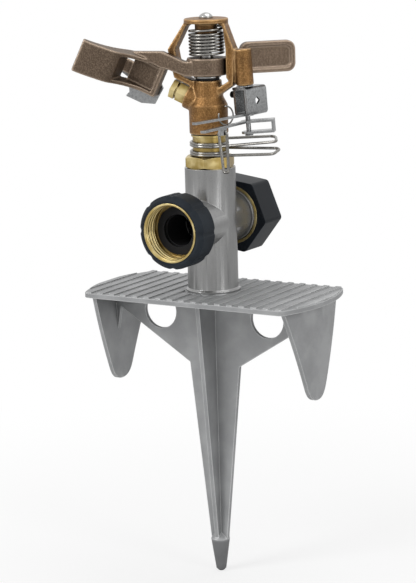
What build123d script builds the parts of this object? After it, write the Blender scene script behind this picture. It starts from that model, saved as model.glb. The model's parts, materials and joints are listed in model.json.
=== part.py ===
from build123d import *
from math import cos, pi, radians, sin
import os

os.makedirs("parts", exist_ok=True)

# Impact sprinkler on a step spike, millimetres.
# Origin: on the spike's axis, level with the underside of the step plate, which lies on the ground.
# +Z is up, X runs along the step plate, the hose goes in along +Y from the -Y side.

# Step plate
plate_half_length = 64.3
plate_depth = 63.8
plate_thickness = 2.4
plate_end_bulge = 7.3
plate_corner_radius = 4.0
ridge_pitch = 6.85
ridge_count = 19
ridge_width = 3.0
ridge_height = 0.6

# Web, spike and fins under the plate
wall = 2.2
web_half_length = 58.0
web_end_depth = 8.6
web_root_depth = 35.7
web_hole_x = 31.3
web_hole_z = -10.2
web_hole_radius = 9.3
rib_x_root = 14.5
rib_x_tip = 4.6
rib_y_root = 16.8
rib_y_tip = 3.6
spike_length = 127.5
tip_length = 17.2
tip_radius = 4.85
tip_end_radius = 2.55
tip_rounding = 1.2
fin_inset = 3.4
fin_half_width = 26.4
fin_depth = 48.3
fin_lean = 2.4
fin_tip_half_width = 10.0
fin_straight_depth = 40.0
gusset_depth = 30.0
gusset_reach = 2.6

# Riser tee
riser_radius = 12.7
riser_height = 62.4
riser_foot_radius = 13.7
riser_foot_height = 1.6
spigot_radius = 7.0
spigot_height = 9.0
water_radius = 7.8
riser_bore_radius = 8.4
nut_thread_radius = 10.4
nut_thread_depth = 11.0
tee_z = 38.1
boss_radius = 12.3
inlet_boss_reach = 26.6
outlet_boss_reach = 18.7
tail_radius = 9.0
lens_depth = 0.34
lens_half_height = 6.4
boss_chamfer = 0.5
tail_depth = 11.8

# Hose swivel on the inlet boss
swivel_gap = 0.4
nut_outer_radius = 14.75
hose_thread_radius = 13.5
thread_relief_radius = 13.9
thread_relief_gap = 0.3
nut_length = 13.1
nut_back_wall = 1.3
tail_flange_radius = 12.0
tail_flange_thickness = 1.1
washer_radius = 12.0
washer_bore_radius = 8.2
washer_thickness = 2.2
washer_gap = 0.3
mouth_chamfer = 0.4
grip_radius = 18.3
grip_length = 12.8
grip_chamfer = 2.0
grip_flute_count = 8
grip_flute_radius = 3.0
grip_flute_depth = 0.5
running_gap = 0.3
turn_clearance = 0.06

# Capped outlet
nipple_root = 11.0
nipple_reach = 11.8
nipple_thread_radius = 13.3
cap_flats = 35.5
cap_front_gap = 0.5
cap_length = 18.8
cap_turn = -8.0
cap_chamfer = 2.2
cap_corner_radius = 2.5
cap_bore_radius = 15.0
insert_radius = 13.6
cap_washer_thickness = 2.4
cap_washer_radius = 13.0

# Bearing nut and what turns in it
hex_flats = 22.2
hex_bevel = 1.5
hex_height = 5.8
hex_turn = -11.6
sleeve_radius = 8.3
sleeve_height = 10.6
sleeve_lip_radius = 9.0
sleeve_lip_height = 0.8
sleeve_bore_radius = 6.4
tube_radius = 5.0
tube_bore_radius = 3.6
tube_collar_radius = 7.4
tube_collar_height = 1.6
tube_press_length = 9.7
nut_shank = 10.0
thrust_washer_height = 1.2
spring_seat_depth = 9.0
bearing_turns = 6
bearing_wire = 0.8

# Friction collars of spring wire
wire = 1.45
collar_grip = 0.1
collar_pitch = 1.75
collar_foot_gap = 0.8
collar_spacing = 4.35
handle_reach = 33.5
handle_leave = 77.0
handle_bend = 3.0
handle_knee = 0.35
near_handle_rise = 0.4
far_handle_rise = 0.1
handle_slant = 2.0
lower_handle_turns = (11.0, 28.0)
upper_handle_turns = (34.0, 51.0)

# Head, in its own turned frame: x away from the nozzle
head_yaw = 14.0
barrel_radius = 9.7
barrel_gap = 0.5
barrel_shoulder = 14.2
head_top = 26.6
head_top_radius = 6.9
neck_swell = 0.7
neck_rise = 4.0
leg_left_x = 19.2
leg_knee = 41.9
leg_foot = 27.7
leg_thickness = 3.9
sleeve_web = 4.0
throat = 13.9
throat_radius = 3.6
jet_rise = 25.5
nozzle_boss_radius = 6.6
nozzle_boss_reach = 11.6
nozzle_flats = 9.4
nozzle_length = 8.6
nozzle_bore_radius = 2.0
nozzle_groove_depth = 0.8
nozzle_groove_width = 1.0
nozzle_hex_length = 4.9
nozzle_shank_radius = 4.2
nozzle_shank = 5.0
nozzle_wall = 0.8
bridge_half_width = 4.0
cap_disc_radius = 11.0
cap_disc_bottom = 54.7
cap_disc_thickness = 2.3
cap_core_radius = 5.6
cap_core_bottom = 49.2
sleeve_lean = 3.5
trip_sleeve_radius = 4.4
trip_sleeve_foot_x = 19.3
trip_sleeve_foot = 24.0
trip_sleeve_length = 18.0

# Fulcrum pin and washers
pin_radius = 2.4
pin_root = 20.2
pin_head_radius = 3.4
pin_head_height = 2.8
pin_head_rim = 1.0
seal_radius = 6.0
seal_height = 1.2
washer_height = 0.8
steel_washer_radius = 6.8

# Arm
hub_radius = 10.0
hub_gap = 0.35
hub_height = 8.7
bush_radius = 3.5
bush_rise = 1.3
lever_near = 8.8
lever_far = 4.4
rear_turn = 31.0
rear_near = 5.0
rear_thickness = 4.0
rear_bar_near = 1.5
rear_bar_thickness = 3.4
weight_centre = 30.0
weight_half_length = 14.1
weight_height = 15.6
weight_corner = 4.2
weight_border = 2.2
weight_recess = 0.9
frame_top = 9.2
frame_bottom = -7.3
shelf = 2.0
vane_far = 0.6
rim_start = 5.5
rim_width = 2.4
slot_near = 22.2
slot_far = 25.4

# Arm spring
spring_wire = 1.3
spring_radius = 8.35
spring_foot_gap = 1.95
spring_turns = 8
spring_pitch = 1.6
spring_hook_turn = 90.0
spring_clearance = 0.5
spring_hook_depth = 1.4

# Deflector flap
flap_thickness = 1.2
flap_gap = 0.3
rivet_s = 29.3
rivet_n = -0.9
rivet_radius = 1.4
rivet_head_radius = 2.1
rivet_head_height = 0.9
rivet_head_taper = 20.0
ear_thickness = 2.0
ear_half_height = 3.4

# Trip mechanism, hung on a leaning pin
trip_pin_radius = 1.2
trip_pin_drop = 24.3
trip_pin_head_radius = 2.0
trip_pin_head_height = 0.8
sheet = 1.2
bracket_turn = 64.0
bracket_near = -3.1
bracket_far = 11.5
bracket_web = -3.4
bracket_back = 5.6
bracket_flange = 6.0
bracket_top = -1.0
bracket_height = 14.2
bend_radius = 2.0
diamond_side = 3.0
blade_width = 3.0
blade_eye_radius = 3.2
upper_blade_turn = 236.0
upper_blade_length = 34.0
lower_blade_turn = 251.0
lower_blade_length = 38.0
lever_top = -17.4
lever_height = 6.6
lever_turn = 10.0
lever_reach = 13.0
lever_half_width = 3.6
peg_radius = 1.7
peg_length = 3.8
peg_drop = 3.7
toggle_wire = 0.8
toggle_radius = 4.6
toggle_lift = 0.4
toggle_reach = 12.0
bail_reach = 21.9
bail_drop = 20.0
bail_half_width = 2.5
bail_foot_half_width = 1.4
bail_lug = 3.2

# Frames that several pieces share
wire_sides = 8
yaw = radians(head_yaw)
head_x = Vector(cos(yaw), sin(yaw), 0)
head_y = Vector(-sin(yaw), cos(yaw), 0)
up = Vector(0, 0, 1)
ridge_top = plate_thickness + ridge_height
riser_top = ridge_top + riser_height
nut_top = riser_top + hex_height
sleeve_top = nut_top + sleeve_height
barrel_foot = sleeve_top + barrel_gap
tube_foot = riser_top - nut_shank - thrust_washer_height
rise = radians(jet_rise)
jet_normal = head_x * sin(rise) + up * cos(rise)
jet_along = jet_normal.cross(head_y)
nozzle_reach = nozzle_boss_reach + nozzle_length
throat_centre = up * (barrel_foot + throat)
jet_outlet = throat_centre + jet_along * nozzle_reach
lean = radians(sleeve_lean)
trip_up = up * cos(lean) - head_x * sin(lean)
trip_out = head_x * cos(lean) + up * sin(lean)
trip_foot = head_x * trip_sleeve_foot_x + up * (barrel_foot + trip_sleeve_foot)
hub_bottom = head_top + seal_height + washer_height + hub_gap
hub_top = hub_bottom + hub_height
spring_bottom = hub_top + spring_foot_gap


def hose(y=0):
    """Plane square to the hose axis, x across and local y up."""
    return Plane(origin=(0, y, tee_z), x_dir=(-1, 0, 0), z_dir=(0, 1, 0))


def level(height):
    """Level plane turned with the head, at a height above the barrel's foot."""
    return Plane(origin=(0, 0, barrel_foot + height), x_dir=head_x, z_dir=up)


def side(y=0):
    """Upright plane along the head: local x away from the nozzle, local y up from the barrel's foot."""
    return Plane(origin=head_y * y + up * barrel_foot, x_dir=head_x, z_dir=-head_y)


def jet(normal=0):
    """Plane along the jet from the outlet: local x downstream, local y towards the hose side."""
    return Plane(origin=jet_outlet + jet_normal * normal, x_dir=jet_along, z_dir=jet_normal)


def across_jet(along):
    """Plane square to the jet, at a distance from the throat."""
    return Plane(origin=throat_centre + jet_along * along, x_dir=head_y, z_dir=jet_along)


def in_side(along, normal):
    """A point given along and square to the jet, as the side plane's own coordinates."""
    spot = jet_outlet + jet_along * along + jet_normal * normal
    return (spot.dot(head_x), spot.Z - barrel_foot)


def trip(drop=0, turn=0):
    """Plane square to the trip pin, its local x turned from straight outwards."""
    turned = trip_out * cos(radians(turn)) + head_y * sin(radians(turn))
    return Plane(origin=trip_foot + trip_up * drop, x_dir=turned, z_dir=trip_up)


def on_ring(radius, turn, z):
    """A point round the riser axis."""
    return Vector(radius * cos(radians(turn)), radius * sin(radians(turn)), z)


def round_body(plane, points):
    """Revolve an outline of (radius, along) points about the plane's own y axis."""
    with BuildSketch(plane) as half:
        outline(*points)
    revolve(half.sketch, axis=Axis(plane.origin, plane.y_dir))


def outline(*points):
    """Closed face of straight lines in the sketch being built."""
    with BuildLine() as border:
        Polyline(*points, close=True)
    make_face(border.edges())


def bent_wire(points, bend, radius):
    """Wire with round bends, its section flattened to a few sides."""
    with BuildLine() as route:
        FilletPolyline(*points, radius=bend)
    with BuildSketch(Plane(origin=route.line @ 0, z_dir=route.line % 0)) as section:
        RegularPolygon(radius, wire_sides)
    sweep(section.sketch, path=route.wires()[0])


def coil(base, radius, pitch, turns, wire_radius, steps=12):
    """Spring wire round a plane's z axis, in short straight steps."""
    path = []
    for step in range(turns * steps + 1):
        angle = 2 * pi * step / steps
        spot = (radius * cos(angle), radius * sin(angle), pitch * step / steps)
        path.append(base.from_local_coords(spot))
    with BuildLine() as route:
        Polyline(*path)
    with BuildSketch(Plane(origin=route.line @ 0, z_dir=route.line % 0)) as section:
        RegularPolygon(wire_radius, 6)
    sweep(section.sketch, path=route.wires()[0], transition=Transition.RIGHT)


def step_outline(inset=0, side_inset=0, mode=Mode.ADD):
    """The step plate's outline, drawn in at the ends and at the sides: straight sides, bulging ends."""
    corner_x = plate_half_length - plate_end_bulge - inset
    end_x = plate_half_length - inset
    half_depth = plate_depth / 2 - side_inset
    with BuildLine() as border:
        Line((-corner_x, -half_depth), (corner_x, -half_depth))
        ThreePointArc((corner_x, -half_depth), (end_x, 0), (corner_x, half_depth))
        Line((corner_x, half_depth), (-corner_x, half_depth))
        ThreePointArc((-corner_x, half_depth), (-end_x, 0), (-corner_x, -half_depth))
    make_face(border.edges(), mode=mode)


# Fins under the ends of the plate, curved with them and cut to a tongue
with BuildPart() as end_fins:
    with BuildSketch(Plane.XY):
        step_outline(fin_inset)
    extrude(amount=-fin_depth, taper=fin_lean)
    with BuildSketch(Plane.XY):
        step_outline(fin_inset + wall)
    extrude(amount=-fin_depth, taper=fin_lean, mode=Mode.SUBTRACT)
    with BuildSketch(Plane.YZ) as tongue:
        with BuildLine():
            Line((0, 1), (fin_half_width, 1))
            Line((fin_half_width, 1), (fin_half_width, -1))
            Line((fin_half_width, -1), (fin_tip_half_width, -fin_straight_depth))
            Spline(
                (fin_tip_half_width, -fin_straight_depth),
                (0, -fin_depth),
                tangents=[(fin_tip_half_width - fin_half_width, -fin_straight_depth), (-1, 0)],
            )
            Line((0, -fin_depth), (0, 1))
        make_face()
        mirror(about=Plane.YZ)
    extrude(amount=plate_half_length, both=True, mode=Mode.INTERSECT)

with BuildPart() as step_spike:
    with BuildSketch(Plane.XY):
        step_outline()
        fillet(vertices(), plate_corner_radius)
    extrude(amount=plate_thickness)
    with BuildSketch(Plane.XY.offset(plate_thickness)):
        with GridLocations(ridge_pitch, 0, ridge_count, 1):
            Rectangle(ridge_width, plate_depth)
        step_outline(ridge_height, ridge_height, mode=Mode.INTERSECT)
    extrude(amount=ridge_height)
    with BuildSketch(Plane.XY.offset(plate_thickness)):
        Circle(riser_foot_radius + ridge_height)
    extrude(amount=ridge_height)
    with BuildSketch(Plane.XY.offset(ridge_top)):
        Circle(spigot_radius)
    extrude(amount=spigot_height)
    with BuildSketch(Plane.XZ):
        outline(
            (-web_half_length, plate_thickness / 2),
            (-web_half_length, -web_end_depth),
            (-rib_x_root, -web_root_depth),
            (-rib_x_tip, -spike_length),
            (rib_x_tip, -spike_length),
            (rib_x_root, -web_root_depth),
            (web_half_length, -web_end_depth),
            (web_half_length, plate_thickness / 2),
        )
        with Locations((-web_hole_x, web_hole_z), (web_hole_x, web_hole_z)):
            Circle(web_hole_radius, mode=Mode.SUBTRACT)
    extrude(amount=wall / 2, both=True)
    with BuildSketch(Plane.YZ):
        outline(
            (-rib_y_root, plate_thickness / 2),
            (-rib_y_tip, -spike_length),
            (rib_y_tip, -spike_length),
            (rib_y_root, plate_thickness / 2),
        )
    extrude(amount=wall / 2, both=True)
    round_body(
        Plane.XZ,
        [
            (0, -spike_length - tip_length),
            (tip_end_radius - tip_rounding, -spike_length - tip_length),
            (tip_end_radius, -spike_length - tip_length + tip_rounding),
            (tip_radius, -spike_length),
            (0, tip_radius - spike_length),
        ],
    )
    with BuildSketch(Plane.XZ):
        for end in (-1, 1):
            outline(
                (end * (web_half_length + wall / 2), -web_end_depth),
                (end * (web_half_length - gusset_reach), -web_end_depth),
                (end * (web_half_length + wall / 2), -gusset_depth),
            )
    extrude(amount=wall / 2, both=True)
    add(end_fins.part)
step_spike.part.label = "step_spike"
export_step(step_spike.part, "parts/step_spike.step")

# Riser tee
with BuildPart() as riser_tee:
    round_body(
        Plane.XZ,
        [
            (0, ridge_top),
            (riser_foot_radius, ridge_top),
            (riser_foot_radius, ridge_top + riser_foot_height / 2),
            (riser_radius, ridge_top + riser_foot_height),
            (riser_radius, riser_top),
            (0, riser_top),
        ],
    )
    with BuildSketch(hose(-inlet_boss_reach)):
        Circle(boss_radius)
    extrude(amount=inlet_boss_reach + outlet_boss_reach)
    lens_radius = (lens_half_height**2 + lens_depth**2) / (2 * lens_depth)
    lens_x = riser_radius - lens_depth + lens_radius
    with BuildSketch(hose()):
        with Locations((-lens_x, 0), (lens_x, 0)):
            Circle(lens_radius)
    extrude(amount=boss_radius / 2, both=True, mode=Mode.SUBTRACT)
    with BuildSketch(hose(-inlet_boss_reach)):
        Circle(tail_radius + turn_clearance)
    extrude(amount=inlet_boss_reach - tail_depth, mode=Mode.SUBTRACT)
    with BuildSketch(hose(nipple_root)):
        Circle(tail_radius + turn_clearance)
    extrude(amount=outlet_boss_reach - nipple_root, mode=Mode.SUBTRACT)
    with BuildSketch(hose(-inlet_boss_reach)):
        Circle(water_radius)
    extrude(amount=inlet_boss_reach + outlet_boss_reach, mode=Mode.SUBTRACT)
    with BuildSketch(Plane.XY.offset(tee_z)):
        Circle(riser_bore_radius)
    extrude(amount=riser_top - tee_z, mode=Mode.SUBTRACT)
    with BuildSketch(Plane.XY.offset(riser_top - nut_thread_depth)):
        Circle(nut_thread_radius + turn_clearance)
    extrude(amount=nut_thread_depth, mode=Mode.SUBTRACT)
    with BuildSketch(Plane.XY.offset(ridge_top)):
        Circle(spigot_radius + turn_clearance)
    extrude(amount=spigot_height + running_gap, mode=Mode.SUBTRACT)
    rims = riser_tee.edges().filter_by(GeomType.CIRCLE)
    boss_rims = rims.filter_by(lambda rim: abs(rim.radius - boss_radius) < 0.01)
    chamfer(boss_rims, boss_chamfer)
riser_tee.part.label = "riser_tee"
export_step(riser_tee.part, "parts/riser_tee.step")

# Black tail that carries the swivel, fixed in the front boss
flange_back = -inlet_boss_reach - running_gap - nut_back_wall - running_gap
with BuildPart() as inlet_tail:
    with BuildSketch(hose(-tail_depth)):
        Circle(tail_radius)
    extrude(amount=flange_back + tail_depth)
    with BuildSketch(hose(flange_back)):
        Circle(tail_flange_radius)
    extrude(amount=-tail_flange_thickness)
    with BuildSketch(hose(flange_back - tail_flange_thickness)):
        Circle(water_radius)
    extrude(amount=inlet_boss_reach, mode=Mode.SUBTRACT)
inlet_tail.part.label = "inlet_tail"
export_step(inlet_tail.part, "parts/inlet_tail.step")

# Swivel nut: hose thread at the mouth, back wall behind the tail's flange
nut_back = -inlet_boss_reach - running_gap
nut_mouth = nut_back - nut_length
flange_front = flange_back - tail_flange_thickness
thread_end = flange_front - washer_thickness - thread_relief_gap
with BuildPart() as inlet_nut:
    with BuildSketch(hose(nut_mouth)):
        Circle(nut_outer_radius)
    extrude(amount=nut_length)
    with BuildSketch(hose(nut_mouth)):
        Circle(hose_thread_radius)
    extrude(amount=thread_end - nut_mouth, mode=Mode.SUBTRACT)
    with BuildSketch(hose(thread_end)):
        Circle(thread_relief_radius)
    extrude(amount=flange_front - thread_end, mode=Mode.SUBTRACT)
    with BuildSketch(hose(flange_front)):
        Circle(tail_flange_radius + running_gap)
    extrude(amount=tail_flange_thickness + running_gap, mode=Mode.SUBTRACT)
    with BuildSketch(hose(nut_mouth)):
        Circle(tail_radius + swivel_gap)
    extrude(amount=nut_length, mode=Mode.SUBTRACT)
    mouth_rim = inlet_nut.faces().sort_by(Axis.Y)[0].edges().sort_by(SortBy.RADIUS)[0]
    chamfer(mouth_rim, mouth_chamfer)
inlet_nut.part.label = "inlet_nut"
export_step(inlet_nut.part, "parts/inlet_nut.step")

with BuildPart() as inlet_grip:
    with BuildSketch(hose(nut_back - grip_length)):
        Circle(grip_radius)
        with PolarLocations(grip_radius + grip_flute_radius - grip_flute_depth, grip_flute_count):
            Circle(grip_flute_radius, mode=Mode.SUBTRACT)
        Circle(nut_outer_radius + turn_clearance, mode=Mode.SUBTRACT)
    extrude(amount=grip_length)
    grip_front = inlet_grip.faces().sort_by(Axis.Y)[0]
    outer_rim = grip_front.outer_wire().edges()
    chamfer(outer_rim, grip_chamfer)
inlet_grip.part.label = "inlet_grip"
export_step(inlet_grip.part, "parts/inlet_grip.step")

with BuildPart() as inlet_washer:
    with BuildSketch(hose(flange_front - washer_thickness)):
        Circle(washer_radius)
        Circle(washer_bore_radius, mode=Mode.SUBTRACT)
    extrude(amount=washer_thickness - washer_gap)
inlet_washer.part.label = "inlet_washer"
export_step(inlet_washer.part, "parts/inlet_washer.step")

# Capped hose outlet at the back: nipple, cap with its threaded insert, washer
nipple_end = outlet_boss_reach + nipple_reach
with BuildPart() as outlet_nipple:
    with BuildSketch(hose(nipple_root)):
        Circle(tail_radius)
    extrude(amount=outlet_boss_reach - nipple_root)
    with BuildSketch(hose(outlet_boss_reach)):
        Circle(nipple_thread_radius)
    extrude(amount=nipple_reach)
    with BuildSketch(hose(nipple_root)):
        Circle(water_radius)
    extrude(amount=nipple_end - nipple_root, mode=Mode.SUBTRACT)
outlet_nipple.part.label = "outlet_nipple"
export_step(outlet_nipple.part, "parts/outlet_nipple.step")

cap_front = outlet_boss_reach + cap_front_gap
cap_floor = nipple_end + cap_washer_thickness
with BuildPart() as outlet_cap:
    with BuildSketch(hose(cap_front)) as cap_hexagon:
        RegularPolygon(cap_flats / 2, 6, major_radius=False, rotation=-cap_turn)
        fillet(vertices(), cap_corner_radius)
    extrude(amount=cap_length)
    cap_far_rim = outlet_cap.faces().sort_by(Axis.Y)[-1].edges()
    chamfer(cap_far_rim, cap_chamfer)
    with BuildSketch(hose(cap_front)):
        Circle(cap_bore_radius + turn_clearance)
    extrude(amount=nipple_reach - cap_front_gap, mode=Mode.SUBTRACT)
    with BuildSketch(hose(cap_front)):
        Circle(insert_radius)
    extrude(amount=cap_floor - cap_front, mode=Mode.SUBTRACT)
outlet_cap.part.label = "outlet_cap"
export_step(outlet_cap.part, "parts/outlet_cap.step")

with BuildPart() as cap_insert:
    with BuildSketch(hose(cap_front)):
        Circle(cap_bore_radius)
        Circle(insert_radius, mode=Mode.SUBTRACT)
    extrude(amount=nipple_reach - cap_front_gap)
cap_insert.part.label = "cap_insert"
export_step(cap_insert.part, "parts/cap_insert.step")

with BuildPart() as cap_washer:
    with BuildSketch(hose(nipple_end)):
        Circle(cap_washer_radius)
        Circle(washer_bore_radius, mode=Mode.SUBTRACT)
    extrude(amount=cap_washer_thickness)
cap_washer.part.label = "cap_washer"
export_step(cap_washer.part, "parts/cap_washer.step")

# Bearing nut: thread below, hexagon, and the sleeve that the collars grip
with BuildPart() as bearing_nut:
    with BuildSketch(Plane.XY.offset(riser_top)):
        RegularPolygon(hex_flats / 2, 6, major_radius=False, rotation=hex_turn)
    extrude(amount=hex_height)
    with BuildSketch(Plane.XZ) as hexagon_corners:
        outline(
            (0, riser_top),
            (hex_flats / 2, riser_top),
            (hex_flats / 2 + hex_bevel, riser_top + hex_bevel / 2),
            (hex_flats / 2 + hex_bevel, nut_top - hex_bevel / 2),
            (hex_flats / 2, nut_top),
            (0, nut_top),
        )
    revolve(axis=Axis.Z, mode=Mode.INTERSECT)
    with BuildSketch(Plane.XY.offset(riser_top)):
        Circle(nut_thread_radius)
    extrude(amount=-nut_shank)
    with BuildSketch(Plane.XY.offset(nut_top)):
        Circle(sleeve_radius)
    extrude(amount=sleeve_height)
    with BuildSketch(Plane.XY.offset(sleeve_top)):
        Circle(sleeve_lip_radius)
    extrude(amount=-sleeve_lip_height)
    with BuildSketch(Plane.XY.offset(riser_top - nut_shank)):
        Circle(tube_radius + turn_clearance)
    extrude(amount=sleeve_top - riser_top + nut_shank, mode=Mode.SUBTRACT)
    with BuildSketch(Plane.XY.offset(nut_top - spring_seat_depth)):
        Circle(sleeve_bore_radius)
    extrude(amount=sleeve_height + spring_seat_depth, mode=Mode.SUBTRACT)
bearing_nut.part.label = "bearing_nut"
export_step(bearing_nut.part, "parts/bearing_nut.step")

spring_middle = (tube_radius + sleeve_bore_radius) / 2
spring_seat = nut_top - spring_seat_depth
bearing_pitch = (barrel_foot - spring_seat - bearing_wire - turn_clearance) / bearing_turns
with BuildPart() as bearing_spring:
    spring_foot = Plane.XY.offset(spring_seat + bearing_wire / 2)
    coil(spring_foot, spring_middle, bearing_pitch, bearing_turns, bearing_wire / 2)
bearing_spring.part.label = "bearing_spring"
export_step(bearing_spring.part, "parts/bearing_spring.step")

with BuildPart() as thrust_washer:
    with BuildSketch(Plane.XY.offset(tube_foot)):
        Circle(tube_collar_radius)
        Circle(tube_radius + turn_clearance, mode=Mode.SUBTRACT)
    extrude(amount=thrust_washer_height - turn_clearance)
thrust_washer.part.label = "thrust_washer"
export_step(thrust_washer.part, "parts/thrust_washer.step")

# Bearing tube, pressed up into the head, its foot collar under the nut
barrel_seat = barrel_foot + tube_press_length
with BuildPart() as bearing_tube:
    with BuildSketch(Plane.XY.offset(tube_foot - tube_collar_height)):
        Circle(tube_collar_radius)
    extrude(amount=tube_collar_height - turn_clearance)
    with BuildSketch(Plane.XY.offset(tube_foot - tube_collar_height)):
        Circle(tube_radius)
    extrude(amount=barrel_seat - tube_foot + tube_collar_height)
    with BuildSketch(Plane.XY.offset(tube_foot - tube_collar_height)):
        Circle(tube_bore_radius)
    extrude(amount=barrel_seat - tube_foot + tube_collar_height, mode=Mode.SUBTRACT)
bearing_tube.part.label = "bearing_tube"
export_step(bearing_tube.part, "parts/bearing_tube.step")

# Friction collars: two turns of wire round the sleeve, ending in a finger loop
collar_radius = sleeve_radius + collar_grip + wire / 2


def friction_collar(foot, turns):
    """One collar: two rings, and a finger loop from the lower ring out and back to the upper one."""
    with BuildSketch(Plane.XZ) as rings:
        with Locations((collar_radius, foot), (collar_radius, foot + collar_pitch)):
            RegularPolygon(wire / 2, wire_sides)
    revolve(rings.sketch, axis=Axis.Z)
    near, far = turns
    start = on_ring(collar_radius, near - handle_leave, foot)
    near_end = on_ring(handle_reach, near, foot)
    far_end = on_ring(handle_reach + handle_slant, far, foot + collar_pitch)
    bent_wire(
        [
            start,
            start + (near_end - start) * handle_knee,
            near_end + up * near_handle_rise,
            far_end + up * far_handle_rise,
            on_ring(collar_radius, far + handle_leave, foot + collar_pitch),
        ],
        handle_bend,
        wire / 2,
    )


with BuildPart() as collar_lower:
    friction_collar(nut_top + collar_foot_gap, lower_handle_turns)
collar_lower.part.label = "collar_lower"
export_step(collar_lower.part, "parts/collar_lower.step")

with BuildPart() as collar_upper:
    friction_collar(nut_top + collar_foot_gap + collar_spacing, upper_handle_turns)
collar_upper.part.label = "collar_upper"
export_step(collar_upper.part, "parts/collar_upper.step")

spring_room = spring_radius + spring_wire / 2 + spring_clearance

# Head casting: barrel, nozzle boss, bridge with two legs and the trip sleeve
cap_disc_top = cap_disc_bottom + cap_disc_thickness
with BuildPart() as head_body:
    round_body(
        side(),
        [
            (0, 0),
            (barrel_radius, 0),
            (barrel_radius, barrel_shoulder),
            (head_top_radius + neck_swell, barrel_shoulder + neck_rise),
            (head_top_radius, head_top),
            (0, head_top),
        ],
    )
    with BuildSketch(side(bridge_half_width)):
        outline(
            (-cap_disc_radius + 1.2, cap_disc_bottom + 1.2),
            (-leg_left_x, leg_knee),
            (-leg_left_x + 1.0, leg_knee - 6.1),
            (-leg_left_x + 3.0, leg_foot),
            (-8.4, 24.1),
            (-4.0, 18.7),
            (7.0, 19.3),
            (14.1, 24.1),
            (14.6, 28.7),
            (14.9, leg_knee),
            (cap_disc_radius - 1.2, cap_disc_bottom + 1.2),
        )
        with BuildLine() as window:
            Polyline(
                (-6.6, cap_disc_bottom),
                (-spring_room, cap_disc_bottom - 1.7),
                (-leg_left_x + leg_thickness, leg_knee),
                (-leg_left_x + leg_thickness + 1.0, leg_knee - 5.5),
                (-leg_left_x + leg_thickness + 3.0, leg_foot + 1.2),
                (-steel_washer_radius - running_gap, head_top),
                (4.2, head_top),
                (4.2, 21.6),
                (11.9, 26.3),
                (10.7, 27.9),
                (10.7, leg_knee),
                (spring_room, cap_disc_bottom - 1.7),
                (6.4, cap_disc_bottom),
                close=True,
            )
        make_face(window.edges(), mode=Mode.SUBTRACT)
    extrude(amount=2 * bridge_half_width)
    with BuildSketch(side(sleeve_web / 2)):
        outline(
            (14.0, leg_knee - 0.8),
            (17.4, leg_knee - 1.2),
            (19.2, trip_sleeve_foot + 2.0),
            (13.4, trip_sleeve_foot + 1.2),
        )
    extrude(amount=sleeve_web)
    with BuildSketch(trip()):
        Circle(trip_sleeve_radius)
    extrude(amount=trip_sleeve_length)
    with BuildSketch(level(cap_disc_bottom)):
        Circle(cap_disc_radius)
    extrude(amount=cap_disc_thickness)
    with BuildSketch(level(cap_core_bottom)):
        Circle(cap_core_radius)
    extrude(amount=cap_disc_bottom - cap_core_bottom)
    with BuildSketch(across_jet(0)):
        Circle(nozzle_boss_radius)
    extrude(amount=nozzle_boss_reach)
    with BuildSketch(level(pin_root)):
        Circle(pin_radius + turn_clearance)
    extrude(amount=cap_disc_top - pin_root, mode=Mode.SUBTRACT)
    with BuildSketch(level(0)):
        Circle(tube_radius + turn_clearance)
    extrude(amount=tube_press_length + turn_clearance, mode=Mode.SUBTRACT)
    with BuildSketch(level(0)):
        Circle(throat_radius)
    extrude(amount=throat, mode=Mode.SUBTRACT)
    with BuildSketch(across_jet(0)):
        Circle(throat_radius)
    extrude(amount=nozzle_boss_reach, mode=Mode.SUBTRACT)
    with BuildSketch(across_jet(nozzle_boss_reach)):
        Circle(nozzle_shank_radius + turn_clearance)
    extrude(amount=-nozzle_shank - running_gap, mode=Mode.SUBTRACT)
    with BuildSketch(trip(-running_gap)):
        Circle(trip_pin_radius + turn_clearance)
    extrude(amount=trip_sleeve_length, mode=Mode.SUBTRACT)
    with BuildSketch(level(cap_disc_bottom)):
        with PolarLocations(spring_radius, 1, start_angle=spring_hook_turn):
            Circle(spring_wire / 2 + turn_clearance)
    extrude(amount=spring_hook_depth + turn_clearance, mode=Mode.SUBTRACT)
head_body.part.label = "head_body"
export_step(head_body.part, "parts/head_body.step")

with BuildPart() as nozzle:
    with BuildSketch(across_jet(nozzle_boss_reach)):
        RegularPolygon(nozzle_flats / 2, 6, major_radius=False)
    extrude(amount=nozzle_length)
    with BuildSketch(across_jet(nozzle_boss_reach)):
        Circle(nozzle_shank_radius)
    extrude(amount=-nozzle_shank)
    with BuildSketch(across_jet(nozzle_boss_reach + nozzle_hex_length)):
        Circle(nozzle_flats)
        Circle(nozzle_flats / 2 - nozzle_groove_depth, mode=Mode.SUBTRACT)
    extrude(amount=nozzle_groove_width, mode=Mode.SUBTRACT)
    with BuildSketch(across_jet(nozzle_boss_reach - nozzle_shank)) as nozzle_inlet:
        Circle(nozzle_shank_radius - nozzle_wall)
    with BuildSketch(across_jet(nozzle_reach)) as nozzle_outlet:
        Circle(nozzle_bore_radius)
    loft([nozzle_inlet.sketch.face(), nozzle_outlet.sketch.face()], mode=Mode.SUBTRACT)
nozzle.part.label = "nozzle"
export_step(nozzle.part, "parts/nozzle.step")

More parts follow.
